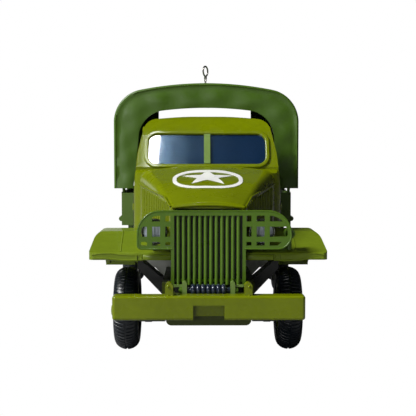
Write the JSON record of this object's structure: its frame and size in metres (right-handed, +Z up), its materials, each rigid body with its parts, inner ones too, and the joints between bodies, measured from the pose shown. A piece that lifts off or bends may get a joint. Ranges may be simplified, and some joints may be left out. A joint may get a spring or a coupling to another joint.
{
  "type": "toy military cargo truck",
  "caption": "Small hanging model of a closed-cab six-wheel-drive military cargo truck with front winch and covered load bed; its axles roll in the chassis.",
  "frame": {"origin": "on the ground under the middle of the model's length and width", "axes": "-Y is forwards, +Z is up, +X is the truck's left side"},
  "size_m": [0.0452, 0.137, 0.0632],
  "materials": {
    "body_paint": "glossy yellowish olive paint on moulded body",
    "fender_paint": "semi-gloss olive paint",
    "chassis_paint": "dark olive semi-gloss paint",
    "grille_plastic": "moulded green plastic",
    "pale_plastic": "pale green moulded plastic",
    "bed_plastic": "moulded green plastic",
    "cover_plastic": "dark green moulded cover with canvas creases",
    "black_plastic": "black plastic",
    "black_gloss": "glossy black",
    "lamp_metal": "dull plated metal",
    "lamp_glass": "clear lens",
    "tinted_glass": "dark blue tinted window",
    "bare_metal": "bare cast metal",
    "wire_metal": "bright wire",
    "axle_steel": "steel rod",
    "wheel_paint": "olive paint on wheel disc",
    "tyre_rubber": "black rubber",
    "tail_lamp": "red"
  },
  "bodies": {
    "truck": {"chassis": "chassis_paint", "front_springs": "chassis_paint", "rear_springs": "chassis_paint", "front_axle_housing": "chassis_paint", "rear_first_axle_housing": "chassis_paint", "rear_second_axle_housing": "chassis_paint", "gearbox": "chassis_paint", "propshafts": "chassis_paint", "exhaust": "black_plastic", "bumper": "body_paint", "winch_tray": "chassis_paint", "winch_frame": "pale_plastic", "winch_drum": "black_gloss", "radiator": "black_plastic", "grille": "grille_plastic", "headlamp_shells": "lamp_metal", "headlamp_lenses": "lamp_glass", "blackout_lamp": "grille_plastic", "hood": "body_paint", "cab": "body_paint", "windscreen_frame": "body_paint", "windscreen_post": "pale_plastic", "windscreen_glass": "tinted_glass", "side_glass": "tinted_glass", "rear_glass": "tinted_glass", "seat": "black_plastic", "dashboard": "black_plastic", "steering_wheel": "black_plastic", "fenders": "fender_paint", "running_boards": "fender_paint", "splash_aprons": "black_plastic", "firewall": "bare_metal", "cargo_bed": "bed_plastic", "tailgate": "bed_plastic", "bed_sills": "bed_plastic", "cargo_cover": "cover_plastic", "hanging_loop": "wire_metal", "fuel_tank": "bed_plastic", "tool_box": "bed_plastic", "tow_hook": "chassis_paint", "tail_lamps": "tail_lamp"},
    "front_wheels": {"front_axle": "axle_steel", "front_hubs": "wheel_paint", "front_tyres": "tyre_rubber"},
    "rear_first_wheels": {"rear_first_axle": "axle_steel", "rear_first_hubs": "wheel_paint", "rear_first_tyres": "tyre_rubber"},
    "rear_second_wheels": {"rear_second_axle": "axle_steel", "rear_second_hubs": "wheel_paint", "rear_second_tyres": "tyre_rubber"}
  },
  "joints": [
    {"name": "front_axle_spin", "type": "hinge", "parent": "truck", "child": "front_wheels", "pos_m": [0, -0.0456, 0.0082], "axis": [1, 0, 0], "continuous": true},
    {"name": "rear_first_axle_spin", "type": "hinge", "parent": "truck", "child": "rear_first_wheels", "pos_m": [0, 0.0265, 0.0082], "axis": [1, 0, 0], "continuous": true},
    {"name": "rear_second_axle_spin", "type": "hinge", "parent": "truck", "child": "rear_second_wheels", "pos_m": [0, 0.0489, 0.0082], "axis": [1, 0, 0], "continuous": true}
  ]
}
